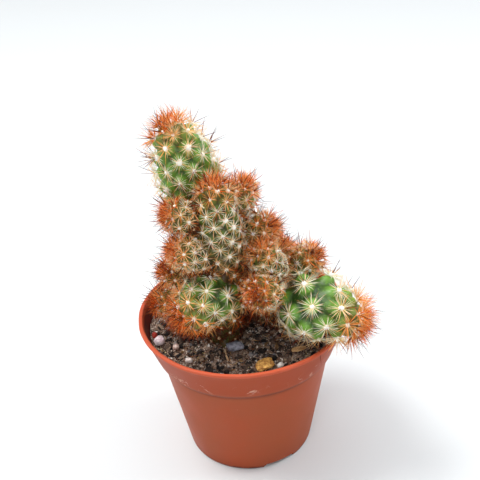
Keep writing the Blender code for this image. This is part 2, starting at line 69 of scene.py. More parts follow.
# name, areole spacing, (x, y, z, radius) from the lower end to the middle of the dome at the growing tip
STEMS = [
    ("stem_tall", 7.2, [(-1.0, 10.0, 53.5, 6.0), (-2.5, 9.6, 66.0, 7.6), (-6.2, 8.5, 80.0, 9.2), (-9.6, 7.8, 92.0, 10.3),
                        (-13.9, 6.5, 109.0, 11.7), (-17.0, 5.0, 124.0, 11.8), (-18.8, 4.0, 132.5, 10.9),
                        (-20.0, 3.2, 137.2, 9.4)]),
    ("stem_middle", 5.2, [(-2.0, -2.0, 53.5, 4.2), (-3.6, -4.6, 72.0, 5.2), (-5.4, -7.6, 84.0, 7.2),
                          (-5.8, -9.0, 96.0, 8.2), (-6.8, -10.0, 110.0, 8.4), (-7.0, -10.2, 120.2, 6.9)]),
    ("stem_front", 6.2, [(-8.6, -9.8, 53.5, 5.5), (-8.0, -10.8, 66.0, 7.6), (-9.0, -13.2, 77.0, 10.2),
                         (-12.6, -16.8, 81.4, 10.3), (-16.6, -20.2, 80.6, 8.8)]),
    ("stem_trailing_right", 8.2, [(18.0, -6.0, 53.5, 5.0), (21.5, -10.5, 64.5, 8.0), (26.4, -16.6, 74.0, 13.2),
                                  (31.2, -21.0, 76.0, 12.8), (35.2, -23.4, 75.2, 10.0)]),
    ("stem_right_back", 4.6, [(19.5, 7.0, 53.5, 4.2), (20.5, 6.0, 68.0, 5.0), (22.8, 3.2, 78.5, 7.0), (25.6, 1.6, 82.6, 6.8)]),
    ("stem_right_middle", 4.4, [(11.5, 1.0, 53.5, 3.8), (12.0, -2.0, 70.0, 4.4), (11.8, -7.0, 82.0, 5.6),
                                (11.0, -11.0, 90.0, 6.8), (9.5, -13.5, 97.0, 5.8)]),
    ("stem_right_front", 4.4, [(9.0, -2.0, 53.5, 3.4), (9.3, -4.0, 66.0, 3.8), (9.4, -11.0, 77.0, 5.2),
                               (9.2, -17.5, 83.5, 7.0), (7.6, -21.3, 86.0, 6.4)]),
    ("stem_left", 4.2, [(-13.5, 9.5, 53.5, 3.6), (-14.5, 7.0, 66.0, 4.0), (-17.5, 2.0, 75.5, 4.8), (-21.6, -2.8, 82.5, 5.8),
                        (-25.4, -5.5, 86.5, 5.0)]),
    ("stem_left_low", 4.4, [(-20.5, 1.5, 53.5, 4.2), (-21.5, 0.5, 62.0, 4.8), (-25.5, -2.0, 69.5, 6.2),
                            (-29.3, -4.0, 72.0, 5.3)]),
    ("stem_back_left", 6.2, [(-9.0, 23.0, 53.5, 5.0), (-9.5, 23.5, 62.0, 6.8), (-10.5, 24.0, 69.0, 7.5),
                             (-12.0, 25.0, 73.0, 6.2)]),
    ("stem_back_right", 6.0, [(13.0, 21.0, 53.5, 4.6), (13.5, 21.5, 61.0, 6.4), (14.5, 22.0, 66.5, 7.0),
                              (16.0, 23.0, 70.0, 5.8)]),
    ("offset_crown", 4.2, [(-3.5, -2.5, 106.0, 4.0), (-0.6, -4.0, 113.0, 5.8), (1.9, -4.8, 118.6, 5.7)]),
    ("offset_left_upper", 4.2, [(-14.6, -5.0, 108.0, 4.2), (-16.6, -9.0, 112.4, 6.6), (-20.4, -11.3, 115.0, 5.9)]),
    ("offset_left_middle", 4.2, [(-13.8, -8.5, 91.5, 3.8), (-15.6, -13.6, 99.4, 6.6), (-19.4, -16.6, 103.0, 6.0)]),
    ("offset_right_upper", 4.4, [(0.2, -2.5, 92.5, 4.6), (4.8, -3.6, 99.2, 7.7), (8.2, -6.0, 102.6, 7.2)]),
    ("offset_right_small", 4.0, [(16.4, 5.0, 79.0, 3.0), (16.8, 2.0, 85.6, 4.6), (16.8, 0.6, 88.8, 4.3)]),
]

# Tints of needles, and where they lie on the needles' colour scale
IVORY, CREAM, STRAW, ORANGE, COPPER, DARK, BROWN = 0.02, 0.15, 0.30, 0.50, 0.66, 0.80, 0.95

# How each stem is clothed. phase and turn: where the spiral starts and which way it runs. flat: number,
# length and full-grown tint of a star's flat needles. raised: the same of the half-raised ones. needle: how
# many point outwards from an areole, and their length. young: how far from the growing tip the new orange
# growth reaches. worn: how far from the lower end the needles are brown and the skin is corky. olive: how
# far the skin turns from green to olive. lush: how many more needles the new growth carries. deep: how much
# darker they are.
SMALL = dict(phase=0.0, turn=1, flat=(17, 3.3, 0.04), raised=(7, 4.4, 0.40), needle=(2.0, 6.9), young=10.0, worn=12.0, olive=0.8, lush=1.0, deep=-0.05)
LOOKS = {
    "stem_tall": dict(phase=0.0, turn=1, flat=(21, 3.7, 0.02), raised=(9, 6.4, 0.30), needle=(1.4, 7.8), young=15.0, worn=40.0, olive=0.0, lush=1.3, deep=0.0),
    "stem_middle": dict(phase=0.0, turn=1, flat=(18, 3.5, 0.03), raised=(6, 5.0, 0.44), needle=(2.4, 6.8), young=11.5, worn=56.0, olive=0.8),
    "stem_front": dict(phase=0.0, turn=1, flat=(21, 4.4, 0.02), raised=(8, 5.8, 0.36), needle=(1.6, 7.2), young=16.5, deep=0.11, worn=30.0, olive=0.1),
    "stem_trailing_right": dict(phase=0.0, turn=1, flat=(27, 5.6, 0.02), raised=(9, 7.6, 0.30), needle=(1.2, 8.8), young=17.0, worn=14.0, olive=0.05, lush=1.7, deep=0.0),
    "stem_left_low": dict(deep=0.08),
    "stem_left": dict(deep=0.03),
    "stem_right_front": dict(deep=0.05),
    "stem_back_left": dict(phase=0.0, turn=1, flat=(19, 4.4, 0.03), raised=(7, 5.2, 0.26), needle=(1.0, 6.8), young=11.0, worn=8.0, olive=0.2),
    "stem_back_right": dict(phase=0.0, turn=1, flat=(19, 4.2, 0.03), raised=(7, 5.0, 0.26), needle=(1.0, 6.8), young=11.0, worn=8.0, olive=0.2),
}


# ================================================================ mesh helpers
def make_piece(name, co, polys, mat, replaces=(), uv=None, attrs=None, smooth=True):
    """A mesh object from points in millimetres and arrays of faces, riding on the plant."""
    co = np.array(co, float) * MM
    co[:, 0] += AX
    co[:, 1] += AY
    polys = [np.asarray(p, np.int32) for p in polys if len(p)]
    me = bpy.data.meshes.new(name)
    me.vertices.add(len(co))
    me.vertices.foreach_set("co", co.astype(np.float32).ravel())
    loops = np.concatenate([p.ravel() for p in polys])
    totals = np.concatenate([np.full(len(p), p.shape[1], np.int32) for p in polys])
    me.loops.add(len(loops))
    me.loops.foreach_set("vertex_index", loops)
    me.polygons.add(len(totals))
    me.polygons.foreach_set("loop_start", np.concatenate([[0], np.cumsum(totals)[:-1]]).astype(np.int32))
    me.update(calc_edges=True)
    if smooth:
        me.polygons.foreach_set("use_smooth", np.ones(len(totals), bool))
    if uv is not None:
        layer = me.uv_layers.new(name="OFBake")
        layer.data.foreach_set("uv", np.asarray(uv, np.float32)[loops].ravel())
    for key, values in (attrs or {}).items():
        me.attributes.new(key, 'FLOAT', 'POINT').data.foreach_set("value", np.asarray(values, np.float32))
    me.materials.append(mat)
    obj = bpy.data.objects.new(name, me)
    bpy.context.scene.collection.objects.link(obj)
    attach(obj, "root")
    if replaces:
        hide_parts(*replaces)
    return obj


def unit(v):
    return v / np.maximum(np.linalg.norm(v, axis=-1, keepdims=True), 1e-9)


def smoothstep(a, b, x):
    t = np.clip((x - a) / (b - a), 0.0, 1.0)
    return t * t * (3 - 2 * t)


def fbm(points, scale, octaves=3, seed=0.0):
    """Soft noise, roughly -1 to 1, at an array of points."""
    out = np.zeros(len(points))
    for i, p in enumerate(points):
        v, amp, s = 0.0, 1.0, scale
        for _ in range(octaves):
            v += amp * noise.noise(Vector((p[0] * s + seed, p[1] * s - seed, p[2] * s + 1.7 * seed)))
            amp *= 0.5
            s *= 2.1
        out[i] = v
    return out


# ================================================================ material helpers
class Nodes:
    def __init__(self, name):
        self.mat = bpy.data.materials.new(name)
        self.mat.use_nodes = True
        self.tree = self.mat.node_tree
        self.shader = self.tree.nodes["Principled BSDF"]

    def add(self, kind, **values):
        n = self.tree.nodes.new(kind)
        for k, v in values.items():
            setattr(n, k, v)
        return n

    def link(self, a, b):
        self.tree.links.new(a, b)

    def put(self, socket, value):
        if hasattr(value, "is_linked"):
            self.link(value, socket)
        elif value is not None:
            socket.default_value = value

    def math(self, op, a, b=None, c=None, clamp=False):
        n = self.add("ShaderNodeMath", operation=op, use_clamp=clamp)
        for i, v in enumerate((a, b, c)):
            self.put(n.inputs[i], v)
        return n.outputs[0]

    def ramp(self, fac, stops, mode='LINEAR'):
        n = self.add("ShaderNodeValToRGB")
        n.color_ramp.interpolation = mode
        els = n.color_ramp.elements
        while len(els) < len(stops):
            els.new(0.5)
        for e, (pos, col) in zip(els, stops):
            e.position = pos
            e.color = (*col, 1.0) if len(col) == 3 else col
        self.put(n.inputs[0], fac)
        return n.outputs[0]

    def mix(self, fac, a, b, mode='MIX'):
        n = self.add("ShaderNodeMix", data_type='RGBA', blend_type=mode)
        self.put(n.inputs[0], fac)
        for sock, v in ((n.inputs[6], a), (n.inputs[7], b)):
            self.put(sock, (*v, 1.0) if isinstance(v, tuple) and len(v) == 3 else v)
        return n.outputs[2]

    def noise(self, vec, scale, detail=3.0, rough=0.5, distort=0.0, out=0):
        n = self.add("ShaderNodeTexNoise")
        self.put(n.inputs["Vector"], vec)
        n.inputs["Scale"].default_value = scale
        n.inputs["Detail"].default_value = detail
        n.inputs["Roughness"].default_value = rough
        n.inputs["Distortion"].default_value = distort
        return n.outputs[out]

    def cells(self, vec, scale, out="Color", feature='F1'):
        n = self.add("ShaderNodeTexVoronoi", feature=feature)
        self.put(n.inputs["Vector"], vec)
        n.inputs["Scale"].default_value = scale
        return n.outputs[out]

    def coords(self):
        return self.add("ShaderNodeTexCoord").outputs["Object"]

    def attr(self, name):
        return self.add("ShaderNodeAttribute", attribute_name=name).outputs["Fac"]

    def span(self, value, a, b, c=0.0, d=1.0, smooth=True):
        n = self.add("ShaderNodeMapRange", interpolation_type='SMOOTHSTEP' if smooth else 'LINEAR')
        for i, v in enumerate((value, a, b, c, d)):
            self.put(n.inputs[i], v)
        return n.outputs[0]

    def bump(self, height, strength, dist):
        n = self.add("ShaderNodeBump")
        n.inputs["Strength"].default_value = strength
        n.inputs["Distance"].default_value = dist
        self.put(n.inputs["Height"], height)
        self.link(n.outputs[0], self.shader.inputs["Normal"])

    def set(self, **values):
        names = {"base": "Base Color", "rough": "Roughness", "sss": "Subsurface Weight", "sss_scale": "Subsurface Scale",
                 "sss_radius": "Subsurface Radius", "spec": "Specular IOR Level", "coat": "Coat Weight", "coat_rough": "Coat Roughness",
                 "sheen": "Sheen Weight", "sheen_rough": "Sheen Roughness", "ior": "IOR", "sheen_tint": "Sheen Tint"}
        for k, v in values.items():
            if isinstance(v, tuple) and len(v) == 3 and k in ("base", "sheen_tint"):
                v = (*v, 1.0)
            self.put(self.shader.inputs[names[k]], v)
        return self.mat


def skin_material(name, green, groove_shade, crown, blue_reflection):
    """Waxy skin: painted shade in the grooves, yellower by the areoles, with a painted blue-white reflection of the
    lights in patches.
    """
    m = Nodes(name)
    co = m.coords()
    relief = m.attr("relief")
    young = m.attr("young")
    tone = m.attr("tone")
    blotch = m.noise(co, 210.0, 3.0, 0.6)
    # painted shade: the skin is darker in the grooves between the tubercles
    base = m.mix(m.span(relief, 0.0, 0.75), groove_shade, green)
    base = m.mix(m.span(relief, 0.80, 1.0, 0.0, 0.65), base, crown)
    # painted reflection: a pale blue-white sheen of the lights, in random patches
    base = m.mix(m.math('MULTIPLY', m.span(blotch, 0.52, 0.72), 0.5), base, blue_reflection)
    base = m.mix(m.math('MULTIPLY', m.span(tone, 0.0, 1.0), 0.35), base, tuple(c * 0.55 for c in green))
    base = m.mix(m.math('MULTIPLY', young, 0.55), base, rgb(120, 96, 38))
    corky = m.math('MULTIPLY', m.attr("old"), m.span(m.noise(co, 150.0, 4.0, 0.6), 0.35, 0.6, 0.8, 1.0))
    base = m.mix(corky, base, rgb(84, 58, 36))
    speck = m.noise(co, 1400.0, 2.0, 0.5)
    base = m.mix(m.math('MULTIPLY', m.span(speck, 0.55, 0.75), 0.35), base, tuple(min(1.0, c * 1.8 + 0.01) for c in green))
    m.bump(m.math('ADD', m.math('MULTIPLY', m.noise(co, 900.0, 4.0, 0.6), 0.6), m.noise(co, 2600.0, 2.0, 0.5)), 0.35, 0.00022)
    rough = m.span(blotch, 0.3, 0.7, 0.36, 0.52)
    return m.set(base=base, rough=rough, sss=0.06, sss_scale=0.0012, sss_radius=(0.6, 1.0, 0.3), spec=0.5, coat=0.10, coat_rough=0.22)


def spine_material():
    """Colour runs along each needle (u) and across kinds of needle (v): ivory, straw, orange, copper, dark."""
    m = Nodes("spines")
    uv = m.add("ShaderNodeUVMap", uv_map="OFBake").outputs[0]
    sep = m.add("ShaderNodeSeparateXYZ")
    m.link(uv, sep.inputs[0])
    u, v = sep.outputs[0], sep.outputs[1]
    at = (IVORY, CREAM, STRAW, ORANGE, COPPER, DARK, BROWN)
    foot = m.ramp(v, list(zip(at, (rgb(255, 246, 196), rgb(250, 230, 160), rgb(246, 206, 130), rgb(254, 190, 100), rgb(250, 140, 44), rgb(150, 54, 20), rgb(150, 100, 54)))))
    mid = m.ramp(v, list(zip(at, (rgb(255, 251, 228), rgb(253, 232, 184), rgb(250, 200, 142), rgb(255, 170, 80), rgb(254, 108, 24), rgb(84, 24, 12), rgb(128, 76, 40)))))
    end = m.ramp(v, list(zip(at, (rgb(244, 208, 168), rgb(230, 156, 104), rgb(212, 116, 70), rgb(226, 96, 36), rgb(188, 50, 12), rgb(34, 12, 10), rgb(60, 32, 22)))))
    col = m.mix(m.span(u, 0.05, 0.4), foot, mid)
    col = m.mix(m.span(u, 0.6, 1.0), col, end)
    return m.set(base=col, rough=0.6, spec=0.15)


def wool_material():
    m = Nodes("wool")
    uv = m.add("ShaderNodeUVMap", uv_map="OFBake").outputs[0]
    sep = m.add("ShaderNodeSeparateXYZ")
    m.link(uv, sep.inputs[0])
    col = m.ramp(sep.outputs[1], [(0.0, rgb(255, 254, 244)), (0.4, rgb(255, 246, 222)), (0.7, rgb(236, 206, 160)), (1.0, rgb(168, 124, 88))])
    col = m.mix(m.span(sep.outputs[0], 0.0, 0.4, 0.25, 0.0), col, rgb(200, 164, 110))
    return m.set(base=col, rough=0.95, sss=0.2, sss_scale=0.0005, sss_radius=(1.0, 0.9, 0.7), spec=0.2, sheen=0.5, sheen_rough=0.4)


SPINES = spine_material()
WOOL = wool_material()
SKINS = [
    # colours: own green, painted groove shade, yellower tone by the areoles, painted blue-white reflection
    skin_material("skin_green", rgb(110, 160, 48), rgb(34, 62, 18), rgb(160, 192, 72), rgb(140, 182, 138)),
    skin_material("skin_olive", rgb(98, 124, 34), rgb(32, 34, 12), rgb(150, 152, 54), rgb(118, 150, 84)),
]


# ================================================================ stems
PER_ROW = 12


def catmull(rows, per=PER_ROW):
    p = np.array(rows, float)
    p = np.vstack([2 * p[0] - p[1], p, 2 * p[-1] - p[-2]])
    out = []
    for i in range(1, len(p) - 2):
        for k in range(per):
            t = k / per
            out.append(0.5 * ((2 * p[i]) + (-p[i - 1] + p[i + 1]) * t + (2 * p[i - 1] - 5 * p[i] + 4 * p[i + 1] - p[i + 2]) * t * t
                              + (-p[i - 1] + 3 * p[i] - 3 * p[i + 1] + p[i + 2]) * t ** 3))
    out.append(p[-2])
    return np.array(out)


def over_rim(r, z):
    return np.where(z < SOIL_Z + 2.0, z, np.maximum(z, np.interp(r, [RIM_R - 9.0, RIM_R - 4.5], [SOIL_Z + 2.0, POT_H + 0.8])))


class Stem:
    def __init__(self, index, name, spacing, rows):
        self.name, self.spacing, self.index = name, spacing, index
        self.look = dict(SMALL, **LOOKS.get(name, {}))
        if "phase" not in LOOKS.get(name, {}):
            self.look["phase"] = 1.9 * index
            self.look["turn"] = 1 if index % 2 else -1
        self.line = line = catmull(rows)
        seg = np.linalg.norm(np.diff(line[:, :3], axis=0), axis=1)
        self.at = np.concatenate([[0.0], np.cumsum(seg)])
        self.length = float(self.at[-1])
        tangent = unit(np.gradient(line[:, :3], axis=0))
        side = np.cross(tangent[0], (0.0, 1.0, 0.13))
        sides = []
        for t in tangent:
            side = side - t * side.dot(t)
            side = side / np.linalg.norm(side)
            sides.append(side)
        self.tangent, self.side = tangent, np.array(sides)
        self.slope = np.gradient(line[:, 3], self.at)
        self.tip_r = float(line[-1, 3])
        self.arc = self.tip_r * math.pi / 2
        self.total = self.arc + self.length
        self.rng = np.random.default_rng(100 + index)

    def surf(self, v, th):
        """Points, outward directions and directions towards the tip, at distances v from the tip along the skin."""
        v, th = np.asarray(v, float), np.asarray(th, float)
        dome = v < self.arc
        phi = np.clip(v, 0.0, self.arc) / self.tip_r
        a = np.where(dome, self.length, np.clip(self.length - (v - self.arc), 0.0, self.length))
        pick = lambda rows: np.stack([np.interp(a, self.at, rows[:, k]) for k in range(3)], 1)
        c, t, s = pick(self.line), unit(pick(self.tangent)), pick(self.side)
        s = unit(s - t * (s * t).sum(1)[:, None])
        q = np.cross(t, s)
        r, slope = np.interp(a, self.at, self.line[:, 3]), np.interp(a, self.at, self.slope)
        radial = s * np.cos(th)[:, None] + q * np.sin(th)[:, None]
        sp, cp = np.sin(phi)[:, None], np.cos(phi)[:, None]
        rho = np.where(dome, self.tip_r * np.sin(phi), r)
        p = c + t * np.where(dome, self.tip_r * np.cos(phi), 0.0)[:, None] + radial * rho[:, None]
        n = np.where(dome[:, None], radial * sp + t * cp, unit(radial - t * slope[:, None]))
        up = np.where(dome[:, None], t * sp - radial * cp, unit(t + radial * slope[:, None]))
        return p, n, up

    def squeeze(self, v):
        """Spacing of the areoles as a share of the full-grown one: they crowd at the growing tip."""
        reach = 1.5 * self.spacing
        return 0.44 + 0.56 * smoothstep(0.0, reach, v)

    def areoles(self):
        v = np.linspace(0.0, self.total, 1500)
        mid = 0.5 * (v[1:] + v[:-1])
        a = np.where(mid < self.arc, self.length, self.length - (mid - self.arc))
        rho = np.where(mid < self.arc, self.tip_r * np.sin(np.clip(mid, 0, self.arc) / self.tip_r), np.interp(a, self.at, self.line[:, 3]))
        cell = 0.866 * (self.spacing * self.squeeze(mid)) ** 2
        count = np.concatenate([[0.0], np.cumsum(math.tau * rho * np.diff(v) / cell)])
        k = np.arange(int(count[-1]))
        at_v = np.interp(k + 0.6, count, v)
        at_th = self.look["turn"] * k * GOLDEN + self.look["phase"]
        p, d, kept = self.surf(at_v, at_th)[0], self.spacing * self.squeeze(at_v), []
        for i in k:                                  # the inside of a bend is crowded
            if not kept or (np.linalg.norm(p[kept] - p[i], axis=1) > 0.66 * np.minimum(d[kept], d[i])).all():
                kept.append(int(i))
        at_v, at_th = list(at_v[kept]), list(at_th[kept])
        grid_v, grid_th = (g.ravel() for g in np.meshgrid(np.arange(1.0, self.total, 0.8), np.arange(48) * math.tau / 48, indexing='ij'))
        grid, reach = self.surf(grid_v, grid_th)[0], self.spacing * self.squeeze(grid_v)
        gap = (np.linalg.norm(grid[:, None] - p[kept][None], axis=2) / d[kept][None]).min(1)
        while gap.max() > 0.82:                      # and its outside is bare
            i = int(gap.argmax())
            at_v.append(grid_v[i])
            at_th.append(grid_th[i])
            gap = np.minimum(gap, np.linalg.norm(grid - grid[i], axis=1) / reach[i])
        self.v, self.th = np.array(at_v), np.array(at_th)
        self.p, self.n, self.up = self.surf(self.v, self.th)
        self.d = self.spacing * self.squeeze(self.v)
        self.p[:, 2] = over_rim(np.hypot(self.p[:, 0], self.p[:, 1]), self.p[:, 2])
        self.tone = self.rng.random(len(self.v))

    def skin(self):
        step = max(0.45, self.spacing / 14)
        rows = np.concatenate([[0.25], np.arange(step, self.total, step), [self.total]])
        cols = int(math.ceil(math.tau * self.line[:, 3].max() / (step * 1.15)))
        th = np.arange(cols) * math.tau / cols
        vv, tt = np.repeat(rows, cols), np.tile(th, len(rows))
        p, n, up = self.surf(vv, tt)
        tip, tip_n, tip_up = self.surf([0.0], [0.0])
        p, n, up, vv = np.vstack([p, tip]), np.vstack([n, tip_n]), np.vstack([up, tip_up * 0]), np.append(vv, 0.0)
        d1 = np.empty(len(p))
        near = np.empty(len(p), int)
        for i in range(0, len(p), 4000):
            dist = np.linalg.norm(p[i:i + 4000, None, :] - self.p[None], axis=2) / self.d[None]
            near[i:i + 4000] = dist.argmin(1)
            d1[i:i + 4000] = dist.min(1)
        relief = np.cos(np.minimum(d1 / 0.62, 1.0) * math.pi / 2) ** 1.1
        d = self.d[near]
        co = p + n * (0.40 * d * (relief - 1.0))[:, None] + up * (0.10 * d * relief)[:, None]
        co[:, 2] = over_rim(np.hypot(co[:, 0], co[:, 1]), co[:, 2])
        base = co[(len(rows) - 1) * cols:len(rows) * cols].mean(0)
        co = np.vstack([co, base])
        i = np.arange(cols)
        j = (i + 1) % cols
        quads = [np.stack([i + cols * k, i + cols * (k + 1), j + cols * (k + 1), j + cols * k], 1) for k in range(len(rows) - 1)]
        top = np.stack([np.full(cols, len(rows) * cols), i, j], 1)
        last = cols * (len(rows) - 1)
        low = np.stack([np.full(cols, len(rows) * cols + 1), j + last, i + last], 1)
        relief, vv = np.append(relief, 0.0), np.append(vv, self.total)
        young = 1.0 - smoothstep(self.look["young"] * 0.25, self.look["young"] * 1.1, vv)
        old = smoothstep(self.total - self.look["worn"] * 1.15, self.total - self.look["worn"] * 0.55, vv)
        tone = np.append(self.tone[near], 0.5)
        return co, [np.vstack(quads), top, low], dict(relief=relief, young=young, old=old, tone=tone)


stems = [Stem(i, *row) for i, row in enumerate(STEMS)]
for stem in stems:
    stem.areoles()

BALLS = [(s.line[::3, :3], s.line[::3, 3]) for s in stems]


def depth_in(points, skip, shrink):
    """How deep each point lies inside the other stems, in millimetres, positive inside."""
    best = np.full(len(points), -99.0)
    for k, (c, r) in enumerate(BALLS):
        if k == skip:
            continue
        reach = r.max() + 1.0
        box_lo, box_hi = c.min(0) - reach, c.max(0) + reach
        near = np.flatnonzero(((points > box_lo) & (points < box_hi)).all(1))
        if len(near):
            for i in range(0, len(near), 20000):
                idx = near[i:i + 20000]
                d = np.linalg.norm(points[idx, None, :] - c[None], axis=2)
                best[idx] = np.maximum(best[idx], (r * shrink - d).max(1))
    return best


def inside_pot(points):
    """True where a point is in the soil or in the pot's wall."""
    r, z = np.hypot(points[:, 0], points[:, 1]), points[:, 2]
    inner = np.interp(z, [3.0, SHOULDER_Z, COLLAR_LOW_Z, POT_H], [25.0, 33.7, 36.1, 40.7]) - 0.15
    outer = np.interp(z, [0.0, SHOULDER_Z, COLLAR_LOW_Z, POT_H - 1.8, POT_H - 1.5, POT_H], [25.6, 35.0, 37.2, 41.8, 42.6, 42.6]) + 0.15
    soil = (r < inner) & (z < SOIL_Z + 0.3)
    wall = (r >= inner) & (r <= outer) & (z < POT_H + 0.15)
    return soil | wall


def needles(root, direction, bend, length, thick, tint, sides=3):
    """Tapering curved needles: points, faces and OFBake coordinates."""
    at = np.array([0.0, 0.4, 0.75])
    wide = np.array([1.0, 0.85, 0.55])
    n = len(root)
    direction = unit(direction)
    ref = np.where(np.abs(direction[:, 2:3]) < 0.9, np.array([[0.0, 0.0, 1.0]]), np.array([[1.0, 0.0, 0.0]]))
    e1 = unit(np.cross(direction, ref))
    e2 = np.cross(direction, e1)
    rings = []
    for u, w in zip(at, wide):
        mid = root + (direction * u + bend * u * u) * length[:, None]
        for k in range(sides):
            ang = math.tau * k / sides
            rings.append(mid + (e1 * math.cos(ang) + e2 * math.sin(ang)) * (thick * w)[:, None])
    rings.append(root + (direction + bend) * length[:, None])
    per = sides * 3 + 1
    co = np.stack(rings, 1).reshape(n * per, 3)
    quads, tris = [], []
    for r in range(2):
        for k in range(sides):
            k2 = (k + 1) % sides
            quads.append((r * sides + k, r * sides + k2, (r + 1) * sides + k2, (r + 1) * sides + k))
    for k in range(sides):
        tris.append((2 * sides + k, 2 * sides + (k + 1) % sides, 3 * sides))
    base = [tuple(reversed(range(sides)))]
    off = (np.arange(n) * per)[:, None, None]
    q = (np.array(quads)[None] + off).reshape(-1, 4)
    t = (np.array(tris)[None] + off).reshape(-1, 3)
    b = (np.array(base)[None] + off).reshape(-1, sides)
    u = np.tile(np.concatenate([np.repeat(at, sides), [1.0]]), n)
    uv = np.stack([0.02 + 0.96 * u, np.repeat(np.clip(tint, 0.01, 0.99), per)], 1)
    return co, [q, t, b], uv


def blobs(mid, n, size, tint, rng):
    """Small woolly cushions."""
    bm = bmesh.new()
    bmesh.ops.create_icosphere(bm, subdivisions=2, radius=1.0)
    base = np.array([v.co for v in bm.verts])
    tri = np.array([[v.index for v in f.verts] for f in bm.faces])
    bm.free()
    ref = np.where(np.abs(n[:, 2:3]) < 0.9, np.array([[0.0, 0.0, 1.0]]), np.array([[1.0, 0.0, 0.0]]))
    e1 = unit(np.cross(n, ref))
    e2 = np.cross(n, e1)
    m = len(mid)
    rough = 1.0 + 0.16 * rng.standard_normal((m, len(base)))
    b = base[None] * rough[:, :, None]
    co = mid[:, None, :] + (e1[:, None, :] * b[:, :, 0:1] + e2[:, None, :] * b[:, :, 1:2]) * size[:, None, None] + n[:, None, :] * b[:, :, 2:3] * (size * 0.75)[:, None, None]
    tris = (tri[None] + (np.arange(m) * len(base))[:, None, None]).reshape(-1, 3)
    height = np.clip((b[:, :, 2] + 1.0) / 2.2, 0.02, 0.98)
    uv = np.stack([height.ravel(), np.repeat(np.clip(tint, 0.01, 0.99), len(base))], 1)
    return co.reshape(-1, 3), [tris], uv


def clothe(stem):
    look, rng = stem.look, stem.rng
    up = unit(stem.up - stem.n * (stem.up * stem.n).sum(1)[:, None])
    foot = stem.p + stem.up * (0.10 * stem.d)[:, None]
    foot[:, 2] = over_rim(np.hypot(foot[:, 0], foot[:, 1]), foot[:, 2])
    hidden = (depth_in(foot + stem.n * 0.4, stem.index, 1.0) > 0.0) | inside_pot(foot + stem.n * 0.3)
    keep = ~hidden
    p, n, up, v, d = foot[keep], stem.n[keep], up[keep], stem.v[keep], stem.d[keep]
    cross = np.cross(n, up)
    young = 1.0 - smoothstep(look["young"] * 0.35, look["young"], v + rng.normal(0, 0.9, len(v)))
    fresh = 1.0 - smoothstep(0.0, 5.0, v)
    worn = smoothstep(stem.total - look["worn"], stem.total - look["worn"] * 0.4, v + rng.normal(0, 1.5, len(v)))
    own = rng.normal(0, 1.0, len(v))                 # no two areoles are quite alike
    m = unit(n + 0.18 * up)
    roots, dirs, bends, lens, thick, tints = [], [], [], [], [], []

    def add(num, more, length, tint, rise, radius, spread, sag):
        """A ring of needles round every areole."""
        num = (num + np.round(more * young)).astype(int)
        i = np.repeat(np.arange(len(p)), num)
        if not len(i):
            return
        j = np.arange(len(i)) - np.repeat(np.cumsum(num) - num, num)
        ang = math.tau * j / num[i] + (rng.random(len(p)) * math.tau)[i] + rng.normal(0, 0.12, len(i))
        lift = rise[i] + rng.normal(0, spread, len(i))
        d = (up[i] * np.cos(ang)[:, None] + cross[i] * np.sin(ang)[:, None]) * np.cos(lift)[:, None] + m[i] * np.sin(lift)[:, None]
        d = unit(d + up[i] * (fresh[i] * 0.22)[:, None])
        roots.append(p[i] + n[i] * 0.25 + d * 0.15)
        dirs.append(d)
        bends.append(-m[i] * (sag * (1 - young[i]) + rng.normal(0, 0.04, len(i)))[:, None] + rng.normal(0, 0.035, (len(i), 3)))
        lens.append(length[i] * rng.uniform(0.78, 1.12, len(i)))
        thick.append(radius * rng.uniform(0.85, 1.15, len(i)))
        tints.append(np.clip(tint[i] + rng.normal(0, 1.0, len(i)) * (0.02 + 0.22 * tint[i] * (tint[i] < 0.7)), 0.01, 0.985))

    grow = 0.95 + 0.05 * smoothstep(0.0, 8.0, v) + 0.17 * young

    def aged(full, fresh_tint):
        tint = full + (fresh_tint - full) * young
        tint = tint + (0.02 + look["deep"] + 0.09 * own) * young
        return tint + (BROWN - tint) * worn * 0.9

    num, length, tint = look["flat"]
    shrink = grow * (1.0 - 0.12 * worn)
    add(num, 5 * look["lush"], length * shrink, aged(tint, ORANGE - 0.06), 0.16 + 0.42 * young + 0.30 * fresh, 0.125, 0.09, 0.10)
    num, length, tint = look["raised"]
    add(num, 9 * look["lush"], length * shrink * (1.0 - 0.02 * young), aged(tint, COPPER - 0.06), 0.50 + 0.30 * young + 0.25 * fresh, 0.10, 0.20, 0.04)
    num, length = look["needle"]
    add(rng.poisson(num * (1 - 0.6 * worn) + 0.8 * young).clip(0, 5), 0, length * shrink, aged(DARK, DARK), np.full(len(p), 1.05), 0.135, 0.26, 0.0)
    root, direction, bend = np.vstack(roots), np.vstack(dirs), np.vstack(bends)
    length, radius, tint = np.concatenate(lens), np.concatenate(thick), np.concatenate(tints)
    ok = np.ones(len(root), bool)
    for u, slack in ((0.3, 0.5), (0.65, 0.3), (1.0, 0.0)):
        q = root + (direction * u + bend * u * u) * length[:, None]
        ok &= (depth_in(q, stem.index, 0.93) < slack) & ~inside_pot(q)
    root, direction, bend, length, radius, tint = (x[ok] for x in (root, direction, bend, length, radius, tint))
    co, polys, uv = needles(root, direction, bend, length, radius, tint)
    make_piece("spines_" + stem.name, co, polys, SPINES, uv=uv)
    # wool
    wool = (0.37 + 0.10 * d + 0.05 * young) * rng.uniform(0.75, 1.15, len(p)) * (1.0 - 0.35 * worn)
    shade = np.clip(0.08 + 0.4 * look["flat"][2] + rng.normal(0, 0.08, len(p)) + 0.12 * young + 0.6 * worn, 0.02, 0.98)
    co, polys, uv = blobs(p + n * (0.30 + 0.22 * young)[:, None], m, wool, shade, rng)
    make_piece("wool_" + stem.name, co, polys, WOOL, uv=uv)
    return len(root)


total = 0
for stem in stems:
    co, polys, attrs = stem.skin()
    make_piece("skin_" + stem.name, co, polys, SKINS[1 if stem.look["olive"] > 0.6 else 0], replaces=(stem.name,), attrs=attrs)
    total += clothe(stem)
print("needles", total)


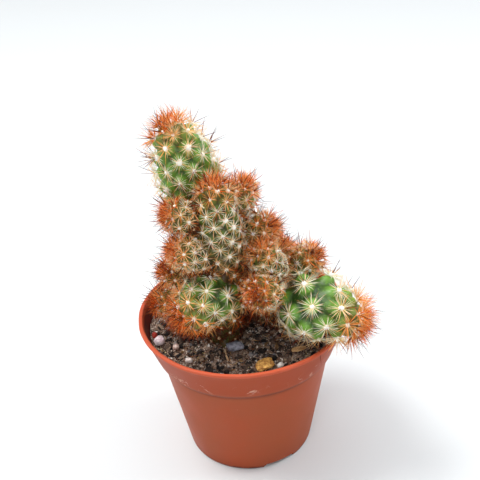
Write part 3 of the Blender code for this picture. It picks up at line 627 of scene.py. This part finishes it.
# ================================================================ pot
def softened(points, reach, steps=4):
    """A profile with its inner corners rounded."""
    out = [points[0]]
    for a, b, c in zip(points[:-2], points[1:-1], points[2:]):
        a, b, c = (np.array(q, float) for q in (a, b, c))
        la, lc = np.linalg.norm(a - b), np.linalg.norm(c - b)
        cut = min(reach, 0.45 * la, 0.45 * lc)
        p, q = b + (a - b) / la * cut, b + (c - b) / lc * cut
        for k in range(steps + 1):
            t = k / steps
            out.append(tuple(p * (1 - t) ** 2 + b * 2 * t * (1 - t) + q * t * t))
    out.append(points[-1])
    return out


def pot_profile():
    t = WALL
    inside = [
        (BASE_R - 0.4, FOOT_H + PLATE_T), (SHOULDER_R - t, SHOULDER_Z + 0.4), (SHOULDER_R - t + 0.5, SHOULDER_Z + 1.6),
        (SHOULDER_R - t + 1.3, SHOULDER_Z + 2.3), (COLLAR_LOW_R - 1.4, COLLAR_LOW_Z - 0.1), (COLLAR_LOW_R - t, COLLAR_LOW_Z + 0.6),
        (COLLAR_TOP_R - t + 0.05, POT_H - 0.9)]
    outside = [
        (RIM_R - LIP_W, POT_H - 0.45), (RIM_R - LIP_W + 0.35, POT_H - 0.05), (RIM_R - 0.4, POT_H), (RIM_R, POT_H - 0.4),
        (RIM_R, POT_H - LIP_H + 0.35), (RIM_R - 0.35, POT_H - LIP_H), (COLLAR_TOP_R, POT_H - LIP_H - 0.25),
        (COLLAR_LOW_R, COLLAR_LOW_Z), (COLLAR_LOW_R - 0.35, COLLAR_LOW_Z - 0.9), (COLLAR_LOW_R - 1.1, COLLAR_LOW_Z - 1.7),
        (SHOULDER_R + 0.4, SHOULDER_Z + 0.9), (SHOULDER_R, SHOULDER_Z), (BASE_R + 0.3, 1.2), (BASE_R, 0.3), (BASE_R - 0.25, 0.0)]
    foot_in = BASE_R - FOOT_W
    foot = [(foot_in, 0.0), (foot_in + 0.1, FOOT_H)]
    pts = softened([(0.4, FOOT_H + PLATE_T)] + inside + outside + foot + [(0.4, FOOT_H)], 0.9)
    # long straight stretches are split so that the wall can wander a little
    fine = [pts[0]]
    for a, b in zip(pts[:-1], pts[1:]):
        n = max(1, int(math.hypot(b[0] - a[0], b[1] - a[1]) / 2.2))
        fine += [(a[0] + (b[0] - a[0]) * k / n, a[1] + (b[1] - a[1]) * k / n) for k in range(1, n + 1)]
    return fine


def pot_material():
    m = Nodes("pot_plastic")
    co = m.coords()
    sep = m.add("ShaderNodeSeparateXYZ")
    m.link(co, sep.inputs[0])
    z = m.math('MULTIPLY', sep.outputs[2], 1000.0)
    x = m.math('MULTIPLY', m.math('SUBTRACT', sep.outputs[0], AX), 1000.0)
    y = m.math('MULTIPLY', m.math('SUBTRACT', sep.outputs[1], AY), 1000.0)
    r = m.math('SQRT', m.math('ADD', m.math('MULTIPLY', x, x), m.math('MULTIPLY', y, y)))
    inside = m.attr("inside")
    cloud = m.noise(co, 38.0, 4.0, 0.55)
    base = m.mix(m.span(cloud, 0.3, 0.7), rgb(164, 70, 32), rgb(158, 76, 42))
    lip = m.span(z, 61.75, 62.0)
    # painted shade: the collar is drawn darker and redder than the same plastic below it
    base = m.mix(m.math('MULTIPLY', m.span(z, 48.6, 49.8), 0.8), base, rgb(158, 60, 20))
    # painted highlight: the top of the lip is lighter and pinker than the wall
    base = m.mix(lip, base, rgb(190, 86, 56))
    # painted shadow: a dark band on the body just under the collar's step
    base = m.mix(m.math('MULTIPLY', m.span(z, 49.0, 47.8, 0.0, 0.8), m.span(z, 44.2, 46.6)), base, rgb(112, 48, 28))
    # painted shade: the inside of the wall is darker below the rim; then dark smudges of soil on it, above the soil
    base = m.mix(m.math('MULTIPLY', inside, m.span(z, 61.6, 60.9)), base, rgb(104, 24, 14))
    dirt = m.math('MULTIPLY', m.math('MULTIPLY', inside, m.span(m.noise(co, 420.0, 5.0, 0.7), 0.5, 0.62)), m.span(z, 61.4, 58.0))
    base = m.mix(dirt, base, rgb(44, 24, 18))
    # lime: thin wandering lines and flecks on the collar's lower half
    band = m.math('MULTIPLY', m.span(z, 47.8, 49.6), m.span(z, 56.5, 51.5))
    wander = m.noise(co, 95.0, 3.0, 0.55, 1.2)
    line = m.span(m.math('ABSOLUTE', m.math('SUBTRACT', wander, 0.50)), 0.014, 0.003)
    patch = m.span(m.noise(co, 55.0, 2.0, 0.5), 0.42, 0.56)
    fleck = m.span(m.noise(co, 700.0, 3.0, 0.65), 0.66, 0.74)
    lime = m.math('MULTIPLY', m.math('MULTIPLY', band, m.math('MAXIMUM', line, fleck)), patch)
    base = m.mix(m.math('MULTIPLY', lime, 0.7), base, rgb(228, 190, 168))
    # scuffs, and the bottom edge darker in blotches
    scuff = m.span(m.noise(co, 1500.0, 2.0, 0.5), 0.72, 0.8)
    base = m.mix(m.math('MULTIPLY', scuff, 0.25), base, rgb(206, 140, 112))
    darker_foot = m.math('MULTIPLY', m.span(z, 2.2, 0.1), m.span(m.noise(co, 260.0, 4.0, 0.6), 0.3, 0.62))
    base = m.mix(m.math('MULTIPLY', darker_foot, 0.8), base, rgb(58, 32, 26))
    rough = m.math('ADD', m.span(cloud, 0.25, 0.75, 0.40, 0.56), m.math('MULTIPLY', lime, 0.3))
    m.bump(m.math('ADD', m.math('MULTIPLY', m.noise(co, 320.0, 3.0, 0.5), 0.5), m.math('MULTIPLY', lime, 0.4)), 0.20, 0.00025)
    return m.set(base=base, rough=rough, sss=0.12, sss_scale=0.0012, sss_radius=(1.0, 0.35, 0.2), spec=0.2)


def make_pot():
    prof = np.array(pot_profile())
    cols = 256
    th = np.arange(cols) * math.tau / cols
    co = []
    for r, z in prof:
        lip = smoothstep(POT_H - 2.4, POT_H - 0.9, z) if r > 38.0 else 0.0
        wave = 0.09 * np.sin(5 * th + 0.6) + 0.06 * np.sin(11 * th + 2.0) + 0.04 * np.sin(23 * th)
        lift = 0.12 * np.sin(4 * th + 1.0) + 0.07 * np.sin(9 * th)
        rr = r - lip * np.abs(wave) + 0.05 * np.sin(3 * th + z * 0.05) * (r > 20)
        zz = z + lip * (lift - 0.19)
        co.append(np.stack([rr * np.cos(th), rr * np.sin(th), np.full(cols, 0.0) + zz], 1))
    co = np.vstack(co + [np.array([[0.0, 0.0, FOOT_H + PLATE_T]]), np.array([[0.0, 0.0, FOOT_H]])])
    i = np.arange(cols)
    j = (i + 1) % cols
    rows = len(prof)
    quads = np.vstack([np.stack([i + cols * k, j + cols * k, j + cols * (k + 1), i + cols * (k + 1)], 1)[:, ::-1] for k in range(rows - 1)])
    top = np.stack([np.full(cols, rows * cols), i, j], 1)
    low = np.stack([np.full(cols, rows * cols + 1), j + cols * (rows - 1), i + cols * (rows - 1)], 1)
    crest = int(np.argmax(prof[:, 1]))                       # rows before it are the inside of the wall
    inside = np.append(np.repeat((np.arange(rows) < crest - 4).astype(float), cols), [1.0, 0.0])
    pot = make_piece("pot_shell", co, [quads, top, low], pot_material(), replaces=("pot",), attrs=dict(inside=inside))
    cutters = []

    def cutter(bm, name):
        me = bpy.data.meshes.new(name)
        bmesh.ops.recalc_face_normals(bm, faces=bm.faces)
        bmesh.ops.scale(bm, vec=(MM, MM, MM), verts=bm.verts)
        bmesh.ops.translate(bm, verts=bm.verts, vec=(AX, AY, 0.0))
        bm.to_mesh(me)
        bm.free()
        ob = bpy.data.objects.new(name, me)
        bpy.context.scene.collection.objects.link(ob)
        mod = pot.modifiers.new(name, 'BOOLEAN')
        mod.operation, mod.solver, mod.object = 'DIFFERENCE', 'EXACT', ob
        cutters.append(ob)

    for k in range(6):
        a = math.tau * (k + 0.5) / 6
        bm = bmesh.new()
        bmesh.ops.create_cone(bm, cap_ends=True, segments=40, radius1=3.0, radius2=3.0, depth=6.0)
        bmesh.ops.translate(bm, verts=bm.verts, vec=(14.5 * math.cos(a), 14.5 * math.sin(a), FOOT_H + PLATE_T / 2))
        cutter(bm, "hole_%d" % k)
    for k in range(3):
        a = math.radians(-64.5 + 120.0 * k)
        bm = bmesh.new()
        bmesh.ops.create_cube(bm, size=1.0)
        for v in bm.verts:
            v.co = Vector((v.co.x * 5.0 + BASE_R - 0.6, v.co.y * 14.0, v.co.z * 2.9 + 0.45))
        bmesh.ops.bevel(bm, geom=[e for e in bm.edges if abs(e.verts[0].co.x - e.verts[1].co.x) > 1 and e.verts[0].co.z > 0], offset=0.8, segments=4, affect='EDGES')
        bm.transform(Matrix.Rotation(a, 4, 'Z'))
        cutter(bm, "notch_%d" % k)
    done = bpy.data.meshes.new_from_object(pot.evaluated_get(bpy.context.evaluated_depsgraph_get()))
    pot.modifiers.clear()
    old = pot.data
    pot.data = done
    bpy.data.meshes.remove(old)
    for ob in cutters:
        bpy.data.objects.remove(ob, do_unlink=True)
    done.shade_smooth()
    done.set_sharp_from_angle(angle=math.radians(38))
    return pot


make_pot()


# ================================================================ soil
GRAINS = [("stone_grey", (-4.0, -18.8), 3.7), ("bark_chip", (7.0, -30.2), 4.2), ("quartz_left", (-34.0, -11.6), 2.2),
          ("quartz_small", (-27.3, -15.7), 1.5), ("brick_bit", (-36.0, -6.8), 1.5), ("perlite_front", (-22.1, -24.5), 1.5),
          ("perlite_right", (13.0, -31.0), 1.4), ("husk", (20.8, -22.0), 3.0)]


def soil_level(x, y):
    d = math.hypot(x - 1.0, y + 1.0)
    lumps = noise.noise(Vector((x * 0.11, y * 0.11, 3.7))) + 0.5 * noise.noise(Vector((x * 0.27, y * 0.27, 9.1)))
    return SOIL_Z + SOIL_ROUGH * lumps + SOIL_MOUND * math.exp(-(d / 20.0) ** 2)


def soil_top(x, y):
    z = soil_level(x, y)
    for _, (gx, gy), reach in GRAINS:
        d = math.hypot(x - gx, y - gy)
        w = min(max((reach + 4.6 - d) / 1.5, 0.0), 1.0)
        z = z * (1 - w) + min(soil_level(gx, gy), z if w < 1.0 else 99.0) * w
    return z


def soil_material():
    m = Nodes("soil")
    co = m.coords()
    clump = m.noise(co, 210.0, 5.0, 0.68)
    fine = m.noise(co, 1500.0, 4.0, 0.7)
    base = m.ramp(clump, [(0.32, rgb(14, 10, 9)), (0.44, rgb(72, 56, 48)), (0.55, rgb(140, 112, 96)), (0.75, rgb(200, 172, 154))])
    base = m.mix(m.span(fine, 0.54, 0.64), base, rgb(226, 208, 192))
    base = m.mix(m.span(fine, 0.44, 0.32), base, rgb(14, 11, 11))
    m.bump(m.math('ADD', m.math('MULTIPLY', clump, 0.6), m.math('MULTIPLY', fine, 0.8)), 0.9, 0.0007)
    return m.set(base=base, rough=0.92, spec=0.25)


def grit_material(name, stops, rough, scale=640.0):
    """Grains whose colour differs from one to the next."""
    m = Nodes(name)
    co = m.coords()
    pick = m.cells(co, scale)
    sep = m.add("ShaderNodeSeparateColor")
    m.link(pick, sep.inputs[0])
    base = m.ramp(sep.outputs[0], stops)
    speck = m.noise(co, 2600.0, 3.0, 0.6)
    base = m.mix(m.span(speck, 0.5, 0.7, 0.0, 0.5), base, tuple(c * 0.45 for c in stops[0][1]))
    m.bump(speck, 0.5, 0.0002)
    return m.set(base=base, rough=rough, spec=0.35)


def make_soil():
    rings, cols = 86, 300
    top_r = 36.1 + (SOIL_Z - 49.0) * 0.315 - SOIL_GAP
    co, i = [], np.arange(cols)
    j = (i + 1) % cols
    th = i * math.tau / cols
    for k in range(1, rings + 1):
        r = top_r * k / rings
        for a in th:
            x, y = r * math.cos(a), r * math.sin(a)
            z = soil_top(x, y) - 0.25
            z += 0.55 * noise.noise(Vector((x * 0.55, y * 0.55, 1.0))) + 0.42 * noise.noise(Vector((x * 1.5, y * 1.5, 4.0)))
            z += 0.22 * noise.noise(Vector((x * 3.4, y * 3.4, 7.0)))
            co.append((x, y, z))
    for z in (55.5, 49.6, 46.7, 20.0, FOOT_H + PLATE_T + 0.35):
        r = np.interp(z, [3.3, 46.2, 49.6, 57.0], [25.4, 33.6, 36.0, 38.4]) - SOIL_GAP
        co += [(r * math.cos(a), r * math.sin(a), z) for a in th]
    co += [(0.0, 0.0, soil_top(0, 0)), (0.0, 0.0, FOOT_H + PLATE_T + 0.35)]
    rows = rings + 5
    quads = np.vstack([np.stack([i + cols * k, i + cols * (k + 1), j + cols * (k + 1), j + cols * k], 1) for k in range(rows - 1)])
    top = np.stack([np.full(cols, rows * cols), i, j], 1)
    low = np.stack([np.full(cols, rows * cols + 1), j + cols * (rows - 1), i + cols * (rows - 1)], 1)
    make_piece("soil_body", co, [quads, top, low], soil_material(), replaces=("soil",))


def crumbs(name, number, sizes, flat, stops, seed, rough=0.9, bury=0.35, elong=1.0, limit=37.6):
    """Irregular grains scattered over the soil."""
    rng = np.random.default_rng(seed)
    bm = bmesh.new()
    bmesh.ops.create_icosphere(bm, subdivisions=2 if sizes[1] > 0.6 else 1, radius=1.0)
    base = np.array([v.co for v in bm.verts])
    tri = np.array([[v.index for v in f.verts] for f in bm.faces])
    bm.free()
    co, polys, n = [], [], 0
    for k in range(number * 3):
        if n >= number:
            break
        r, a = limit * math.sqrt(rng.random()), rng.random() * math.tau
        x, y = r * math.cos(a), r * math.sin(a)
        size = sizes[0] + (sizes[1] - sizes[0]) * rng.random() ** 2.2
        if r + size > limit + 0.6 or any(math.hypot(x - gx, y - gy) < reach + size * 0.5 for _, (gx, gy), reach in GRAINS):
            continue
        scale = np.array([size * elong * rng.uniform(0.8, 1.3), size * rng.uniform(0.6, 1.0), size * flat * rng.uniform(0.6, 1.0)])
        dents = base.copy()
        for _ in range(7):                              # flat facets, as on broken grains
            d = unit(rng.standard_normal(3))
            cut = rng.uniform(0.5, 0.85)
            over = dents @ d - cut
            dents -= np.clip(over, 0, None)[:, None] * d[None] * 0.9
        dents *= 1.0 + 0.05 * rng.standard_normal((len(base), 1))
        rot = np.array(Matrix.Rotation(rng.random() * math.tau, 3, 'Z') @ Matrix.Rotation(rng.normal(0, 0.35), 3, 'X') @ Matrix.Rotation(rng.normal(0, 0.35), 3, 'Y'))
        pts = (dents * scale) @ rot.T
        pts += np.array([x, y, soil_top(x, y) - 0.25 + scale[2] * (1 - 2 * bury)])
        co.append(pts)
        polys.append(tri + n * len(base))
        n += 1
    obj = make_piece(name, np.vstack(co), [np.vstack(polys)], grit_material(name, stops, rough))
    obj.data.set_sharp_from_angle(angle=math.radians(34))
    return obj


def fibres(name, number, seed, col, length=(2.0, 9.0), thick=(0.06, 0.16)):
    rng = np.random.default_rng(seed)
    n = number
    r, a = 37.0 * np.sqrt(rng.random(n)), rng.random(n) * math.tau
    x, y = r * np.cos(a), r * np.sin(a)
    z = np.array([soil_top(*q) for q in zip(x, y)]) + rng.uniform(0.0, 0.7, n)
    heading = rng.random(n) * math.tau
    rise = rng.normal(0.05, 0.18, n)
    direction = np.stack([np.cos(heading) * np.cos(rise), np.sin(heading) * np.cos(rise), np.sin(rise)], 1)
    length = rng.uniform(*length, n)
    end = np.stack([x, y], 1) + direction[:, :2] * length[:, None]
    ok = np.hypot(end[:, 0], end[:, 1]) < 38.2
    bend = rng.normal(0, 0.22, (n, 3)) * np.array([1, 1, 0.3])
    co, polys, uv = needles(np.stack([x, y, z], 1)[ok], direction[ok], bend[ok], length[ok], rng.uniform(*thick, n)[ok], rng.uniform(*col, n)[ok])
    make_piece(name, co, polys, SPINES, uv=uv)


make_soil()
crumbs("soil_peat", 1100, (0.4, 2.1), 0.8, [(0.0, rgb(14, 11, 10)), (0.45, rgb(40, 30, 26)), (0.8, rgb(104, 82, 68)), (1.0, rgb(150, 126, 106))], 7)
crumbs("soil_bark", 70, (0.7, 1.7), 0.45, [(0.0, rgb(88, 64, 44)), (0.5, rgb(122, 92, 60)), (0.8, rgb(150, 118, 76)), (1.0, rgb(110, 98, 74))], 21, elong=1.5, bury=0.2)
crumbs("soil_grit_fine", 4200, (0.18, 0.55), 0.8, [(0.0, rgb(34, 27, 24)), (0.4, rgb(116, 96, 84)), (0.7, rgb(200, 180, 162)), (1.0, rgb(250, 240, 230))], 27, rough=0.8, bury=0.05)
crumbs("soil_grit_grey", 420, (0.35, 1.2), 0.75, [(0.0, rgb(58, 56, 60)), (0.5, rgb(124, 118, 120)), (0.85, rgb(164, 156, 152)), (1.0, rgb(186, 176, 168))], 33, rough=0.75, bury=0.25)
crumbs("soil_grit_pale", 150, (0.3, 0.85), 0.75, [(0.0, rgb(206, 196, 186)), (0.5, rgb(226, 216, 208)), (1.0, rgb(238, 232, 226))], 45, rough=0.7, bury=0.2)
fibres("soil_fibres", 420, 61, (0.88, 1.0), (1.5, 7.0), (0.05, 0.12))
fibres("soil_fibres_pale", 150, 63, (0.12, 0.36), (1.5, 5.0), (0.05, 0.10))


# ================================================================ loose pieces kept from the CAD model
def plain(name, a, b, rough, scale=500.0, bump=0.6, streak=None):
    m = Nodes(name + "_look")
    co = m.coords()
    if streak:
        mp = m.add("ShaderNodeMapping")
        mp.inputs["Rotation"].default_value = (0.0, 0.0, streak)
        mp.inputs["Scale"].default_value = (0.25, 1.0, 1.0)
        m.link(co, mp.inputs[0])
        co = mp.outputs[0]
    f = m.noise(co, scale, 5.0, 0.65)
    base = m.mix(m.span(f, 0.35, 0.65), a, b)
    base = m.mix(m.span(m.noise(co, scale * 3.1, 3.0, 0.6), 0.56, 0.7, 0.0, 0.6), base, tuple(c * 0.35 for c in a))
    m.bump(f, bump, 0.0005)
    m.set(base=base, rough=rough, spec=0.4)
    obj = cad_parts[name]
    obj.data.materials.clear()
    obj.data.materials.append(m.mat)


plain("stone_grey", rgb(92, 92, 102), rgb(168, 170, 184), 0.55, 420.0)
plain("bark_chip", rgb(150, 96, 40), rgb(228, 178, 96), 0.8, 520.0, 1.0)
plain("quartz_left", rgb(196, 170, 176), rgb(244, 232, 234), 0.4, 600.0)
plain("quartz_small", rgb(170, 134, 122), rgb(220, 196, 186), 0.45, 600.0)
plain("brick_bit", rgb(120, 30, 22), rgb(170, 52, 36), 0.85, 800.0)
plain("perlite_front", rgb(206, 188, 180), rgb(236, 226, 220), 0.85, 900.0)
plain("perlite_right", rgb(200, 190, 180), rgb(238, 232, 226), 0.85, 900.0)
plain("husk", rgb(168, 122, 78), rgb(226, 184, 132), 0.8, 700.0, 1.0, 0.2)
plain("straw", rgb(196, 152, 110), rgb(232, 200, 160), 0.7, 700.0, 0.6)


# ================================================================ stage, light and camera
def make_floor():
    bm = bmesh.new()
    bmesh.ops.create_grid(bm, x_segments=8, y_segments=8, size=3.0)
    me = bpy.data.meshes.new("floor")
    bm.to_mesh(me)
    bm.free()
    m = Nodes("floor_paper")
    m.bump(m.noise(m.coords(), 900.0, 3.0, 0.5), 0.05, 0.0002)
    me.materials.append(m.set(base=m.mix(m.noise(m.coords(), 3.0), rgb(213, 217, 219), rgb(217, 220, 222)), rough=0.85, spec=0.1))
    ob = bpy.data.objects.new("floor", me)
    bpy.context.scene.collection.objects.link(ob)


def area(name, loc, target, size, power, colour):
    li = bpy.data.lights.new(name, 'AREA')
    li.shape, li.size, li.energy, li.color = 'DISK', size, power, colour
    ob = bpy.data.objects.new(name, li)
    ob.location = loc
    ob.rotation_euler = (Vector(target) - Vector(loc)).to_track_quat('-Z', 'Y').to_euler()
    bpy.context.scene.collection.objects.link(ob)


make_floor()
area("key", (-0.48, 0.10, 0.92), (0.0, 0.0, 0.07), 0.5, 7.8, (1.0, 0.995, 0.98))
area("side", (0.70, 0.05, 0.75), (0.0, 0.0, 0.07), 0.5, 4.9, (0.98, 0.99, 1.0))
area("front", (-0.15, -0.85, 0.80), (0.0, 0.0, 0.08), 0.5, 3.0, (1.0, 1.0, 1.0))
sun = bpy.data.lights.new("ceiling", 'SUN')
sun.energy, sun.angle = 0.9, math.radians(60.0)
ceiling = bpy.data.objects.new("ceiling", sun)
ceiling.rotation_euler = (math.radians(-12.0), math.radians(-8.0), 0.0)
bpy.context.scene.collection.objects.link(ceiling)
world = bpy.data.worlds.new("studio")
world.use_nodes = True
world.node_tree.nodes["Background"].inputs[0].default_value = (0.98, 0.99, 1.0, 1.0)
world.node_tree.nodes["Background"].inputs[1].default_value = 0.42
bpy.context.scene.world = world
bpy.context.scene.view_settings.view_transform = 'Standard'

cam = bpy.data.cameras.new("camera")
cam.lens, cam.sensor_width, cam.clip_start, cam.clip_end = 75.0, 36.0, 0.01, 30.0
camera = bpy.data.objects.new("camera", cam)
pitch, roll = math.radians(31.8), math.radians(-3.94)
fw = Vector((0.0, math.cos(pitch), -math.sin(pitch)))
rt, upv = Vector((1.0, 0.0, 0.0)), Vector((0.0, math.sin(pitch), math.cos(pitch)))
r2 = rt * math.cos(roll) + upv * math.sin(roll)
u2 = -rt * math.sin(roll) + upv * math.cos(roll)
camera.matrix_world = Matrix.Translation((0.0008435 + AX, -0.3301377 + AY, 0.3010204)) @ Matrix((r2, u2, -fw)).transposed().to_4x4()
bpy.context.scene.collection.objects.link(camera)
bpy.context.scene.camera = camera

bpy.context.view_layer.update()
